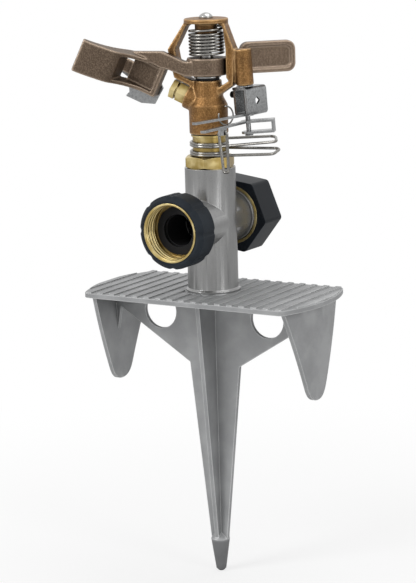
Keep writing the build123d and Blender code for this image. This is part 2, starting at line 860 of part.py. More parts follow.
# Fulcrum pin with its dome head, and the washers that the arm turns on
with BuildPart() as fulcrum_pin:
    with BuildSketch(level(pin_root)):
        Circle(pin_radius)
    extrude(amount=cap_disc_top - pin_root)
    with BuildSketch(side()) as dome:
        with BuildLine() as dome_edge:
            Line((0, cap_disc_top), (pin_head_radius, cap_disc_top))
            Line((pin_head_radius, cap_disc_top), (pin_head_radius, cap_disc_top + pin_head_rim))
            dome_end = (0, cap_disc_top + pin_head_height)
            dome_rim = (pin_head_radius, cap_disc_top + pin_head_rim)
            TangentArc(dome_end, dome_rim, tangent=(1, 0), tangent_from_first=True)
            Line(dome_end, (0, cap_disc_top))
        make_face(dome_edge.edges())
    revolve(dome.sketch, axis=Axis.Z)
fulcrum_pin.part.label = "fulcrum_pin"
export_step(fulcrum_pin.part, "parts/fulcrum_pin.step")

with BuildPart() as hub_seal:
    with BuildSketch(level(head_top)):
        Circle(seal_radius)
        Circle(pin_radius + turn_clearance, mode=Mode.SUBTRACT)
    extrude(amount=seal_height)
hub_seal.part.label = "hub_seal"
export_step(hub_seal.part, "parts/hub_seal.step")

with BuildPart() as hub_washer:
    with BuildSketch(level(head_top + seal_height)):
        Circle(steel_washer_radius)
        Circle(pin_radius + turn_clearance, mode=Mode.SUBTRACT)
    extrude(amount=washer_height)
hub_washer.part.label = "hub_washer"
export_step(hub_washer.part, "parts/hub_washer.step")

rivet_spot = in_side(rivet_s, rivet_n)

# Arm: hub, gooseneck lever, vane frame, spoon, and the counterweight behind
rear_along = head_x * cos(radians(rear_turn)) + head_y * sin(radians(rear_turn))
rear_across = rear_along.cross(up)


def rear(offset=0):
    """Upright plane along the rear lever: local x outwards, local y up from the barrel's foot."""
    return Plane(origin=rear_across * offset + up * barrel_foot, x_dir=rear_along, z_dir=rear_across)


with BuildPart() as arm:
    with BuildSketch(level(hub_bottom)):
        Circle(hub_radius)
    extrude(amount=hub_height)
    with BuildSketch(side(-lever_near)):
        outline(
            (-2.0, hub_bottom),
            (-9.6, hub_bottom + 0.3),
            (-18.4, 32.5),
            (-22.0, 33.3),
            (-34.4, 39.3),
            (-35.6, 41.3),
            (-20.8, 41.3),
            (-9.5, hub_top - 1.2),
            (-2.0, hub_top - 1.6),
        )
    extrude(amount=lever_far - lever_near)
    with BuildSketch(jet(frame_bottom)):
        with BuildLine() as band:
            Polyline((13.0, 7.8), (rim_start, 7.4), (rim_start, vane_far), (20.0, vane_far))
            Spline(
                (13.0, 7.8),
                (19.0, 12.2),
                (23.2, 17.5),
                (27.0, 23.4),
                (32.5, 27.4),
                (38.0, 30.6),
                (42.6, 32.0),
            )
            Spline(
                (20.0, vane_far),
                (25.6, 6.0),
                (29.6, 14.0),
                (34.0, 20.6),
                (39.4, 25.6),
                (44.0, 28.0),
            )
            Line((42.6, 32.0), (44.0, 28.0))
        make_face(band.edges())
    extrude(amount=frame_top - frame_bottom)
    with BuildSketch(jet(frame_bottom + shelf)):
        outline((rim_start + rim_width, 5.4), (slot_near, 5.4), (26.0, 20.0), (rim_start + rim_width, 20.0))
        outline((slot_near, -2.0), (slot_far, -2.0), (slot_far, 24.0), (slot_near, 24.0))
    extrude(amount=frame_top - frame_bottom - 2 * shelf, mode=Mode.SUBTRACT)
    with BuildSketch(jet(-ear_half_height)):
        outline(
            (rim_start, vane_far),
            (rivet_s + ear_half_height, vane_far),
            (rivet_s + ear_half_height, vane_far + ear_thickness),
            (rim_start, vane_far + ear_thickness),
        )
    extrude(amount=2 * ear_half_height)
    with BuildSketch(rear(rear_bar_near)):
        outline(
            (3.0, hub_bottom),
            (weight_centre - weight_half_length + 2.0, hub_bottom),
            (weight_centre - weight_half_length + 2.0, hub_top),
            (3.0, hub_top),
        )
    extrude(amount=-rear_bar_thickness)
    with BuildSketch(rear(rear_near)):
        with Locations((weight_centre, hub_bottom + weight_height / 2)):
            Rectangle(2 * weight_half_length, weight_height)
        fillet(vertices(), weight_corner)
    extrude(amount=-rear_thickness)
    with BuildSketch(rear(rear_near)):
        with Locations((weight_centre, hub_bottom + weight_height / 2)):
            Rectangle(2 * (weight_half_length - weight_border), weight_height - 2 * weight_border)
        fillet(vertices(), weight_corner - weight_border / 2)
    extrude(amount=-weight_recess, mode=Mode.SUBTRACT)
    with BuildSketch(level(hub_bottom)):
        Circle(bush_radius + turn_clearance)
    extrude(amount=hub_height, mode=Mode.SUBTRACT)
    with BuildSketch(side()):
        with Locations(rivet_spot):
            Circle(rivet_radius + turn_clearance)
    extrude(amount=lever_near, mode=Mode.SUBTRACT)
arm.part.label = "arm"
export_step(arm.part, "parts/arm.step")

with BuildPart() as arm_bushing:
    with BuildSketch(level(head_top + seal_height + washer_height + turn_clearance)):
        Circle(bush_radius)
        Circle(pin_radius + turn_clearance, mode=Mode.SUBTRACT)
    extrude(amount=hub_top - head_top - seal_height - washer_height + bush_rise)
arm_bushing.part.label = "arm_bushing"
export_step(arm_bushing.part, "parts/arm_bushing.step")

# Torsion spring between the cap and the hub, hooked up into the cap
spring_top = spring_bottom + spring_turns * spring_pitch
with BuildPart() as arm_spring:
    spring_base = level(spring_bottom).rotated((0, 0, spring_hook_turn))
    coil(spring_base, spring_radius, spring_pitch, spring_turns, spring_wire / 2)
    with BuildSketch(level(spring_top)):
        with PolarLocations(spring_radius, 1, start_angle=spring_hook_turn):
            RegularPolygon(spring_wire / 2, wire_sides)
    extrude(amount=cap_disc_bottom + spring_hook_depth - spring_top)
arm_spring.part.label = "arm_spring"
export_step(arm_spring.part, "parts/arm_spring.step")

# Deflector flap behind the vane, and the rivet that it turns on
flap_near = -vane_far + flap_gap
with BuildPart() as deflector_flap:
    with BuildSketch(side(flap_near + flap_thickness)):
        outline(
            (-43.2, 18.3),
            (-35.0, 14.7),
            (-27.9, 14.2),
            (-23.2, 22.1),
            (-24.8, 26.1),
            (-31.0, 32.3),
            (-43.0, 37.1),
            (-47.4, 35.9),
            (-47.4, 32.1),
            (-41.6, 27.7),
            (-41.1, 20.4),
        )
        with Locations(rivet_spot):
            Circle(rivet_radius + turn_clearance, mode=Mode.SUBTRACT)
    extrude(amount=flap_thickness)
deflector_flap.part.label = "deflector_flap"
export_step(deflector_flap.part, "parts/deflector_flap.step")

ear_near = -vane_far - ear_thickness
with BuildPart() as flap_rivet:
    with BuildSketch(side(flap_near + flap_thickness + turn_clearance)):
        with Locations(rivet_spot):
            Circle(rivet_radius)
    extrude(amount=flap_near + flap_thickness + turn_clearance - ear_near)
    with BuildSketch(side(ear_near)):
        with Locations(rivet_spot):
            Circle(rivet_head_radius)
    extrude(amount=rivet_head_height, taper=rivet_head_taper)
    with BuildSketch(side(flap_near + flap_thickness + turn_clearance + rivet_head_height)):
        with Locations(rivet_spot):
            Circle(rivet_head_radius)
    extrude(amount=rivet_head_height)
flap_rivet.part.label = "flap_rivet"
export_step(flap_rivet.part, "parts/flap_rivet.step")

# Trip mechanism on its leaning pin
with BuildPart() as trip_pin:
    with BuildSketch(trip(trip_sleeve_length - running_gap)):
        Circle(trip_pin_radius)
    extrude(amount=-trip_sleeve_length - trip_pin_drop)
    with BuildSketch(trip(-trip_pin_drop)):
        Circle(trip_pin_head_radius)
    extrude(amount=-trip_pin_head_height)
trip_pin.part.label = "trip_pin"
export_step(trip_pin.part, "parts/trip_pin.step")

with BuildPart() as trip_washer:
    with BuildSketch(trip(-running_gap)):
        Circle(trip_sleeve_radius)
        Circle(trip_pin_radius + turn_clearance, mode=Mode.SUBTRACT)
    extrude(amount=bracket_top + 2 * running_gap + turn_clearance)
trip_washer.part.label = "trip_washer"
export_step(trip_washer.part, "parts/trip_washer.step")


def upright(turn, along=0):
    """Plane that holds the trip pin's axis: local x square to the turned direction, local y up the pin."""
    turned = trip(0, turn)
    return Plane(origin=turned.origin + turned.x_dir * along, x_dir=turned.y_dir, z_dir=turned.x_dir)


bracket_floor = bracket_top - bracket_height
with BuildPart() as trip_bracket:
    with BuildSketch(upright(bracket_turn, bracket_near)):
        with Locations(((bracket_web + bracket_back) / 2, (bracket_top + bracket_floor) / 2)):
            RectangleRounded(bracket_back - bracket_web, bracket_height, bend_radius)
            RectangleRounded(
                bracket_back - bracket_web - 2 * sheet,
                bracket_height - 2 * sheet,
                bend_radius - sheet,
                mode=Mode.SUBTRACT,
            )
    extrude(amount=bracket_far - bracket_near)
    with BuildSketch(trip(bracket_top - sheet, bracket_turn)):
        with Locations((0, (bracket_back + bracket_flange - sheet) / 2)):
            Rectangle(-2 * bracket_near, bracket_flange - bracket_back + sheet)
    extrude(amount=sheet)
    with BuildSketch(trip(bracket_floor, upper_blade_turn)):
        with Locations((upper_blade_length / 2, 0)):
            Rectangle(upper_blade_length, blade_width)
        Circle(blade_eye_radius)
    extrude(amount=sheet)
    web_middle = trip((bracket_top + bracket_floor) / 2, bracket_turn)
    with BuildSketch(Plane(origin=web_middle.origin, x_dir=web_middle.x_dir, z_dir=-web_middle.y_dir)):
        with Locations(((bracket_near + bracket_far) / 2, 0)):
            Rectangle(diamond_side, diamond_side, rotation=45)
    extrude(amount=-2 * bracket_web, mode=Mode.SUBTRACT)
    with BuildSketch(trip(0)):
        Circle(trip_pin_radius + turn_clearance)
    extrude(amount=-trip_pin_drop, mode=Mode.SUBTRACT)
trip_bracket.part.label = "trip_bracket"
export_step(trip_bracket.part, "parts/trip_bracket.step")

with BuildPart() as trip_peg:
    peg_base = trip(bracket_top - peg_drop, bracket_turn)
    peg_foot = peg_base.from_local_coords((0, bracket_back, 0))
    with BuildSketch(Plane(origin=peg_foot, x_dir=peg_base.x_dir, z_dir=peg_base.y_dir)):
        Circle(peg_radius)
    extrude(amount=peg_length)
trip_peg.part.label = "trip_peg"
export_step(trip_peg.part, "parts/trip_peg.step")

lever_floor = lever_top - lever_height
with BuildPart() as trip_lever:
    with BuildSketch(trip(lever_top - sheet, lever_turn)):
        with Locations((lever_reach / 2, 0)):
            Rectangle(lever_reach, 2 * lever_half_width)
        Circle(lever_half_width)
    extrude(amount=sheet)
    with BuildSketch(trip(lever_floor, lever_turn)):
        with Locations((lever_reach - sheet / 2, 0)):
            Rectangle(sheet, 2 * lever_half_width)
    extrude(amount=lever_height - sheet)
    with BuildSketch(trip(lever_floor, lever_turn)):
        with Locations((lever_reach / 2, 0)):
            Rectangle(lever_reach, 2 * lever_half_width)
        Circle(lever_half_width)
    extrude(amount=sheet)
    with BuildSketch(trip(lever_top - sheet, lower_blade_turn)):
        with Locations((lower_blade_length / 2, 0)):
            Rectangle(lower_blade_length, blade_width)
    extrude(amount=sheet)
    with BuildSketch(trip(lever_top - sheet - bail_lug, lower_blade_turn)):
        with Locations((bail_reach, 0)):
            Rectangle(bail_lug, blade_width)
    extrude(amount=bail_lug)
    with BuildSketch(upright(lower_blade_turn - 90)):
        with Locations((bail_reach, lever_top - sheet - bail_lug / 2)):
            Circle(wire / 2 + turn_clearance)
    extrude(amount=blade_width, both=True, mode=Mode.SUBTRACT)
    with BuildSketch(trip(0)):
        Circle(trip_pin_radius + turn_clearance)
    extrude(amount=-trip_pin_drop - trip_pin_head_height, mode=Mode.SUBTRACT)
trip_lever.part.label = "trip_lever"
export_step(trip_lever.part, "parts/trip_lever.step")

# Wire bail that hangs from the lower blade, straddling it
bail_top = lever_top - sheet - bail_lug / 2
with BuildPart() as trip_bail:
    bail_plane = upright(lower_blade_turn - 90, 0)
    across = bail_plane.z_dir
    hinge = bail_plane.from_local_coords((bail_reach, bail_top))
    bent_wire(
        [
            hinge + across * 0.1,
            hinge + across * bail_half_width,
            hinge + across * bail_foot_half_width - trip_up * bail_drop,
            hinge - across * bail_foot_half_width - trip_up * bail_drop,
            hinge - across * bail_half_width,
            hinge - across * 0.1,
        ],
        0.9,
        wire / 2,
    )
trip_bail.part.label = "trip_bail"
export_step(trip_bail.part, "parts/trip_bail.step")

# Over-centre spring looped beside the upper blade
toggle_offset = blade_width / 2 + toggle_wire / 2 + running_gap
with BuildPart() as toggle_spring:
    blade_base = trip(bracket_floor + sheet, upper_blade_turn)
    loop_centre = blade_base.from_local_coords((toggle_reach, -toggle_offset, toggle_lift))
    loop_plane = Plane(origin=loop_centre, x_dir=blade_base.x_dir, z_dir=blade_base.y_dir)
    with BuildLine(loop_plane) as loop:
        CenterArc((0, 0), toggle_radius, -20, 290)
    with BuildSketch(Plane(origin=loop.line @ 0, z_dir=loop.line % 0)) as loop_section:
        RegularPolygon(toggle_wire / 2, 6)
    sweep(loop_section.sketch, path=loop.wires()[0])
toggle_spring.part.label = "toggle_spring"
export_step(toggle_spring.part, "parts/toggle_spring.step")
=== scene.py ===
import json
import math
import bmesh
import bpy
import numpy as np
from mathutils import Matrix, Vector


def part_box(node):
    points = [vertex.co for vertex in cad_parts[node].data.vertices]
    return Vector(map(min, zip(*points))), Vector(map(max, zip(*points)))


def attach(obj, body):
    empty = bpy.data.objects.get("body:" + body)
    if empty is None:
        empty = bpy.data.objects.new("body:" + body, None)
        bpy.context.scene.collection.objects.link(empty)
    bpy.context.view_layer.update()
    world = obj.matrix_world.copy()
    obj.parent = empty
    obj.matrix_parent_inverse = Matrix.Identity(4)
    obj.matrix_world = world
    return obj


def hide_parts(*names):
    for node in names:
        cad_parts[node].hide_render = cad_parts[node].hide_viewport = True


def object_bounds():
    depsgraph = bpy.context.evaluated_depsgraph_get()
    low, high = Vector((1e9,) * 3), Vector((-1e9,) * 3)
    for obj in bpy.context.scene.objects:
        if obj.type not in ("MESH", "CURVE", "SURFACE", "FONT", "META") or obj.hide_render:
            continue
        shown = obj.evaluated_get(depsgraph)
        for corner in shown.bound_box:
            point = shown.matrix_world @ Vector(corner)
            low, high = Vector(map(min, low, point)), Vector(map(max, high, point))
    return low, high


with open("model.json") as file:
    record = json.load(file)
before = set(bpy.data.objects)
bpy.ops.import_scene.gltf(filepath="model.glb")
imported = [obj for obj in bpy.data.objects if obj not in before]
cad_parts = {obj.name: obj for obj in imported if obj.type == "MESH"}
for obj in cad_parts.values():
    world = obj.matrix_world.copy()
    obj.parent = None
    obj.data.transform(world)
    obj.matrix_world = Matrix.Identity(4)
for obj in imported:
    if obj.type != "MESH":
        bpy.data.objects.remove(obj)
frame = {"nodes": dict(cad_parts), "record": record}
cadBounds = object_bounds()
mm = 0.001
scene = bpy.context.scene
record = frame["record"]
bodyOf = {node: body for body, members in record["behaviour"]["bodies"].items() for node in members}
slotOf = {part["node"]: part["material_slot"] for part in record["subparts"]}
print("frame loaded:", len(frame["nodes"]), "nodes")


# camera: a long lens, a little above the head, rolled slightly
def makeCamera():
    look = dict(turn=31.447, lift=11.428, roll=-1.662, spot=(608.53, -1000.52, 238.57), lens=146.34)
    turn, lift, roll = (math.radians(look[k]) for k in ("turn", "lift", "roll"))
    back = np.array([math.sin(turn) * math.cos(lift), -math.cos(turn) * math.cos(lift), math.sin(lift)])
    level = np.array([math.cos(turn), math.sin(turn), 0.0])
    above = np.cross(back, level)
    right = math.cos(roll) * level + math.sin(roll) * above
    over = -math.sin(roll) * level + math.cos(roll) * above
    data = bpy.data.cameras.new("productCamera")
    data.lens, data.sensor_width, data.sensor_fit = look["lens"], 36.0, "AUTO"
    data.clip_start, data.clip_end = 0.05, 20.0
    camera = bpy.data.objects.new("productCamera", data)
    scene.collection.objects.link(camera)
    place = np.eye(4)
    place[:3, 0], place[:3, 1], place[:3, 2], place[:3, 3] = right, over, back, np.array(look["spot"]) * mm
    camera.matrix_world = Matrix(place.tolist())
    scene.camera = camera
    print("camera placed")


makeCamera()


# ---- numpy helpers: every length is in millimetres until the mesh is made ----

def unit(v):  # each vector divided by its own length
    v = np.asarray(v, float)
    return v / np.linalg.norm(v, axis=-1, keepdims=True)


def turned(degrees, flat=(1, 0, 0), across=(0, 1, 0)):  # flat * cos + across * sin
    t = np.radians(degrees)
    return np.array(flat) * np.cos(t) + np.array(across) * np.sin(t)


upward = np.array([0.0, 0.0, 1.0])
headYaw = 14.0
headX = turned(headYaw)  # level, away from the nozzle
headY = turned(headYaw + 90)  # level, away from the hose


def boxOf(node):  # lowest and highest corner of a CAD node, in mm
    low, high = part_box(node)
    return np.array(low) / mm, np.array(high) / mm


# a mesh object from points and faces, in metres, at the origin
def makeMesh(name, points, faces, smooth=True):
    mesh = bpy.data.meshes.new(name)
    mesh.from_pydata((np.asarray(points) * mm).tolist(), [], [list(f) for f in faces])
    mesh.validate()
    mesh.polygons.foreach_set("use_smooth", np.full(len(mesh.polygons), smooth))
    piece = bpy.data.objects.new(name, mesh)
    scene.collection.objects.link(piece)
    return piece


# a grid of points (rows, columns, 3) as quads; either way round it may close on itself
def gridFaces(rows, columns, closeRows, closeColumns, start=0):
    r = np.arange(rows if closeRows else rows - 1)[:, None]
    c = np.arange(columns if closeColumns else columns - 1)[None, :]
    a = r * columns + c
    b = r * columns + (c + 1) % columns
    d = ((r + 1) % rows) * columns + c
    e = ((r + 1) % rows) * columns + (c + 1) % columns
    return (np.stack([a, b, e, d], -1).reshape(-1, 4) + start).tolist()


def gridMesh(name, grid, closeRows=False, closeColumns=False, capEnds=False):
    rows, columns = grid.shape[:2]
    faces = gridFaces(rows, columns, closeRows, closeColumns)
    if capEnds:  # flat ends on a tube
        faces += [list(range(columns))[::-1], list(range((rows - 1) * columns, rows * columns))]
    piece = makeMesh(name, grid.reshape(-1, 3), faces)
    tidyMesh(piece)
    return piece


# doubles merged and every face turned outwards
def tidyMesh(piece, distance=1e-6):
    work = bmesh.new()
    work.from_mesh(piece.data)
    bmesh.ops.remove_doubles(work, verts=work.verts, dist=distance)
    bmesh.ops.recalc_face_normals(work, faces=work.faces)
    work.to_mesh(piece.data)
    work.free()


# corners of a path cut by arcs: centre on the bisector at r / sin(half angle), swept from one side to the other
def roundPath(points, radii, steps=6, closed=False):
    p = np.asarray(points, float)
    before, after = np.roll(p, 1, 0), np.roll(p, -1, 0)
    a, b = unit(before - p), unit(after - p)
    half = 0.5 * np.arccos(np.clip((a * b).sum(-1), -0.9999, 0.9999))
    room = 0.48 * np.minimum(np.linalg.norm(before - p, axis=-1), np.linalg.norm(after - p, axis=-1))
    r = np.minimum(np.broadcast_to(np.asarray(radii, float), half.shape), room * np.tan(half))
    bisect = unit(a + b + 1e-12)
    centre = p + bisect * (r / np.sin(half))[:, None]
    first = p + a * (r / np.tan(half))[:, None] - centre
    last = p + b * (r / np.tan(half))[:, None] - centre
    sweep = np.pi - 2 * half
    t = np.linspace(0, 1, steps + 1)[None, :, None]
    w = np.maximum(sweep, 1e-6)[:, None, None]
    arcs = centre[:, None] + (np.sin((1 - t) * w) * first[:, None] + np.sin(t * w) * last[:, None]) / np.sin(w)
    if closed:
        return arcs.reshape(-1, p.shape[1])
    inner = arcs[1:-1].reshape(-1, p.shape[1])
    return np.concatenate([p[:1], inner, p[-1:]])


# straight runs divided so that no step is longer than the given one
def dividePath(points, step):
    p = np.asarray(points, float)
    gaps = np.linalg.norm(np.diff(p, axis=0), axis=-1)
    along = np.concatenate([[0], np.cumsum(gaps)])
    t = np.linspace(0, along[-1], max(2, int(along[-1] / step) + 1))
    t = np.unique(np.concatenate([t, along]))
    return np.stack([np.interp(t, along, p[:, k]) for k in range(p.shape[1])], -1)


# round tube on a path: a circle in the plane of two normals that are carried from one fixed direction
def wireMesh(name, path, radius, sides=14, reference=(0, 0, 1), closed=False):
    p = np.asarray(path, float)
    ahead = np.roll(p, -1, 0) - np.roll(p, 1, 0) if closed else np.gradient(p, axis=0)
    ahead = unit(ahead)
    side = unit(np.cross(ahead, np.asarray(reference, float)))
    other = np.cross(side, ahead)
    t = np.arange(sides) * 2 * np.pi / sides
    ring = side[:, None] * np.cos(t)[None, :, None] + other[:, None] * np.sin(t)[None, :, None]
    r = np.broadcast_to(np.asarray(radius, float), len(p))[:, None, None]
    return gridMesh(name, p[:, None] + ring * r, closeRows=closed, closeColumns=True, capEnds=not closed)


# helix: radius * (cos, sin) of the turn, rising one pitch per turn, with flat ground ends if asked
def helix(origin, axis, flat, radius, pitch, turns, perTurn=40, startTurn=0.0, dead=0.0):
    t = np.linspace(0, turns, int(turns * perTurn) + 1)
    rise = np.interp(t, [0, dead, turns - dead, turns], [0, 0, turns - 2 * dead, turns - 2 * dead]) * pitch
    angle = 2 * np.pi * t + np.radians(startTurn)
    across = np.cross(axis, flat)
    spot = np.cos(angle)[:, None] * flat + np.sin(angle)[:, None] * across
    return np.asarray(origin) + spot * radius + rise[:, None] * np.asarray(axis)


# lathe: each (radius, along) of a profile carried round the axis; relief adds to the radius over turn and along
def lathe(name, profile, origin, axis, flat, sides=96, relief=None, closed=True):
    q = np.asarray(profile, float)
    t = np.arange(sides) * 2 * np.pi / sides
    axis, flat = np.asarray(axis, float), np.asarray(flat, float)
    across = np.cross(axis, flat)
    r = np.repeat(q[:, :1], sides, 1)
    h = np.repeat(q[:, 1:2], sides, 1)
    if relief is not None:
        r = r + relief(r, h, t[None, :])
    grid = (np.asarray(origin) + (r * np.cos(t))[..., None] * flat
            + (r * np.sin(t))[..., None] * across + h[..., None] * axis)
    return gridMesh(name, grid, closeRows=closed, closeColumns=True)


# ---- finishes ----

class Signal:  # a socket in an expression: each operator adds its Math node
    def __init__(self, paint, socket):
        self.paint, self.socket = paint, socket

    def math(self, operation, *others, clamp=False):
        values = dict(enumerate((self,) + others))
        return self.paint.node("ShaderNodeMath", {"operation": operation, "use_clamp": clamp}, values)

    def __add__(self, other): return self.math("ADD", other)
    def __mul__(self, other): return self.math("MULTIPLY", other)
    def __sub__(self, other): return self.math("SUBTRACT", other)
    def __truediv__(self, other): return self.math("DIVIDE", other)
    def __pow__(self, other): return self.math("POWER", other)
    def __rsub__(self, other): return self.math("MULTIPLY", -1.0).math("ADD", other)
    __radd__ = __add__
    __rmul__ = __mul__

    def step(self, low, high):  # 0 below low, 1 above high, smooth between
        ramp = self.paint.node("ShaderNodeMapRange", {"interpolation_type": "SMOOTHSTEP"},
                               {"Value": self, "From Min": low, "From Max": high})
        return ramp


class Paint:  # one material and its nodes
    def __init__(self, name):
        self.material = bpy.data.materials.new(name)
        self.material.use_nodes = True
        self.tree = self.material.node_tree
        self.shader = self.tree.nodes["Principled BSDF"]
        self.object = self.node("ShaderNodeTexCoord", {}, {}, out="Object")

    def node(self, kind, settings, values, out=0):
        made = self.tree.nodes.new(kind)
        for key, value in settings.items():
            setattr(made, key, value)
        for key, value in values.items():
            self.feed(made.inputs[key], value)
        return Signal(self, made.outputs[out])

    def feed(self, socket, value):
        if isinstance(value, Signal):
            self.tree.links.new(value.socket, socket)
        elif isinstance(value, (tuple, list)) and len(value) == 3 and len(socket.default_value) == 4:
            socket.default_value = (*value, 1.0)
        else:
            socket.default_value = value

    def blend(self, mask, first, second):  # colours, by a mask from 0 to 1
        mixer = self.tree.nodes.new("ShaderNodeMix")
        mixer.data_type = "RGBA"
        for index, value in ((0, mask), (6, first), (7, second)):
            self.feed(mixer.inputs[index], value)
        return Signal(self, mixer.outputs[2])

    def noise(self, scale, detail=3.0, rough=0.55, stretch=None):
        place = self.object
        if stretch is not None:
            place = self.node("ShaderNodeMapping", {}, {"Vector": self.object, "Scale": stretch})
        return self.node("ShaderNodeTexNoise", {},
                         {"Vector": place, "Scale": scale, "Detail": detail, "Roughness": rough})

    def edges(self, radius, strength=1.0):  # 1 on sharp outer edges: where a rounded normal leaves the true one; used for edge wear and painted highlight
        rounded = self.node("ShaderNodeBevel", {"samples": 4}, {"Radius": radius})
        true = self.node("ShaderNodeNewGeometry", {}, {}, out="True Normal")
        same = self.node("ShaderNodeVectorMath", {"operation": "DOT_PRODUCT"}, {0: rounded, 1: true}, out="Value")
        return (1 - same).math("MULTIPLY", 9.0 * strength, clamp=True)

    def cornerShadeMask(self, distance):  # 1 in corners and cavities: the mask for painted shade
        open_ = self.node("ShaderNodeAmbientOcclusion", {"samples": 6}, {"Distance": distance}, out="AO")
        return 1 - open_

    def bump(self, height, strength, distance):
        return self.node("ShaderNodeBump", {}, {"Height": height, "Strength": strength, "Distance": distance})

    def finish(self, **values):  # named sockets of the shader
        for key, value in values.items():
            self.feed(self.shader.inputs[key.replace("_", " ")], value)
        return self.material


def greyCasting():
    look = dict(base=(0.275, 0.279, 0.283), pale=(0.43, 0.434, 0.438), wearAndEdgeHighlight=(0.72, 0.73, 0.73),
                dark=(0.075, 0.077, 0.08), grain=2600.0, cloud=55.0)
    p = Paint("greyCasting")
    grain = p.noise(look["grain"], 2.0)
    cloud = p.noise(look["cloud"], 4.0)
    wearAndEdgeHighlight = p.edges(0.0006)
    cornerShade = p.cornerShadeMask(0.004)
    colour = p.blend(cloud.step(0.35, 0.7) * 0.5, look["base"], look["pale"])
    colour = p.blend(grain.step(0.45, 0.72) * 0.25, colour, look["pale"])
    # painted shade: corners and cavities darkened towards the dark colour
    colour = p.blend(cornerShade * 0.7, colour, look["dark"])
    # sharp edges lightened: partly edge wear, partly a painted highlight
    colour = p.blend(wearAndEdgeHighlight * 0.75, colour, look["wearAndEdgeHighlight"])
    height = p.node("ShaderNodeSeparateXYZ", {}, {0: p.object}, out="Z")
    colour = p.blend((-1 * height).step(0.1265, 0.129) * 0.6, colour, look["dark"])  # darker at the tip, below about 127 mm down
    return p.finish(Base_Color=colour, Metallic=0.5, Roughness=0.5 - wearAndEdgeHighlight * 0.12 + grain * 0.1,
                    Normal=p.bump(grain, 0.35, 0.00012))


def satinZinc():
    look = dict(base=(0.30, 0.30, 0.298), dark=(0.13, 0.131, 0.133), streak=900.0, grain=3200.0)
    p = Paint("satinZinc")
    streak = p.noise(look["streak"], 2.0, stretch=(1.0, 1.0, 0.12))
    grain = p.noise(look["grain"], 2.0)
    cornerShade = p.cornerShadeMask(0.005)
    wearAndEdgeHighlight = p.edges(0.0004)
    colour = p.blend(streak.step(0.3, 0.75) * 0.14, look["base"], look["dark"])
    # painted shade: corners and gaps darkened towards the dark colour
    colour = p.blend(cornerShade * 0.35, colour, look["dark"])
    # sharp edges lightened towards pale grey: partly edge wear, partly a painted highlight
    colour = p.blend(wearAndEdgeHighlight * 0.5, colour, (0.78, 0.78, 0.78))
    return p.finish(Base_Color=colour, Metallic=0.8, Roughness=0.24 + grain * 0.1,
                    Normal=p.bump(grain + streak, 0.18, 0.00006))


def yellowBrass():
    look = dict(base=(0.40, 0.29, 0.095), pale=(0.82, 0.70, 0.38), shadedBrass=(0.10, 0.06, 0.02))
    p = Paint("yellowBrass")
    cloud = p.noise(130.0, 3.0)
    turning = p.noise(2400.0, 1.0)
    cornerShade = p.cornerShadeMask(0.003)
    wearAndEdgeHighlight = p.edges(0.0004)
    colour = p.blend(cloud.step(0.4, 0.7) * 0.6, look["base"], look["pale"])
    # painted shade: hollows darkened towards dark brass
    colour = p.blend(cornerShade * 0.75, colour, look["shadedBrass"])
    # sharp edges lightened towards pale brass: partly edge wear, partly a painted highlight
    colour = p.blend(wearAndEdgeHighlight * 0.6, colour, look["pale"])
    return p.finish(Base_Color=colour, Metallic=1.0, Roughness=0.24 + cloud * 0.14,
                    Normal=p.bump(turning, 0.12, 0.00005))


def castBronze():
    look = dict(base=(0.15, 0.072, 0.022), pale=(0.37, 0.205, 0.075), dark=(0.03, 0.013, 0.005), grain=1900.0)
    p = Paint("castBronze")
    grain = p.noise(look["grain"], 3.0, 0.7)
    cloud = p.noise(95.0, 3.0)
    cornerShade = p.cornerShadeMask(0.005)
    wearAndEdgeHighlight = p.edges(0.0012, 2.0)
    colour = p.blend(grain.step(0.42, 0.68), look["base"], look["pale"])
    colour = p.blend(cloud.step(0.45, 0.7) * 0.35, colour, look["dark"])
    # painted shade: corners and cavities darkened towards the dark colour
    colour = p.blend(cornerShade * 0.8, colour, look["dark"])
    # sharp edges lightened: partly edge wear, partly a painted highlight
    colour = p.blend(wearAndEdgeHighlight * 0.7, colour, (0.72, 0.47, 0.23))
    return p.finish(Base_Color=colour, Metallic=0.85, Roughness=0.34 + grain * 0.2 - wearAndEdgeHighlight * 0.1,
                    Normal=p.bump(grain, 0.7, 0.00018))


def armBronze():
    look = dict(base=(0.10, 0.070, 0.048), pale=(0.22, 0.161, 0.115), wearAndEdgeHighlight=(0.60, 0.47, 0.36),
                dark=(0.022, 0.015, 0.01), grain=1700.0)
    p = Paint("armBronze")
    grain = p.noise(look["grain"], 3.0, 0.7)
    brushed = p.noise(420.0, 3.0, stretch=(3.0, 3.0, 0.6))
    cornerShade = p.cornerShadeMask(0.004)
    wearAndEdgeHighlight = p.edges(0.0012, 2.0)
    colour = p.blend(grain.step(0.42, 0.7), look["base"], look["pale"])
    colour = p.blend(brushed.step(0.5, 0.75) * 0.4, colour, look["pale"])
    # painted shade: corners and cavities darkened towards the dark colour
    colour = p.blend(cornerShade * 0.8, colour, look["dark"])
    # sharp edges lightened: partly edge wear, partly a painted highlight
    colour = p.blend(wearAndEdgeHighlight * 0.7, colour, look["wearAndEdgeHighlight"])
    return p.finish(Base_Color=colour, Metallic=0.8, Roughness=0.37 + grain * 0.2 - wearAndEdgeHighlight * 0.12,
                    Normal=p.bump(grain, 0.7, 0.00018))


def moulded(name, base, paleMottleAndHighlight, roughness, grain, depth):
    p = Paint(name)
    skin = p.noise(grain, 2.0)
    cloud = p.noise(60.0, 3.0)
    wearAndEdgeHighlight = p.edges(0.0006)
    colour = p.blend(cloud.step(0.4, 0.75) * 0.4, base, paleMottleAndHighlight)
    # sharp edges lightened: partly edge wear, partly a painted highlight
    colour = p.blend(wearAndEdgeHighlight * 0.35, colour, paleMottleAndHighlight)
    return p.finish(Base_Color=colour, Roughness=roughness + cloud * 0.15, Specular_IOR_Level=0.15,
                    Normal=p.bump(skin, 0.3, depth))


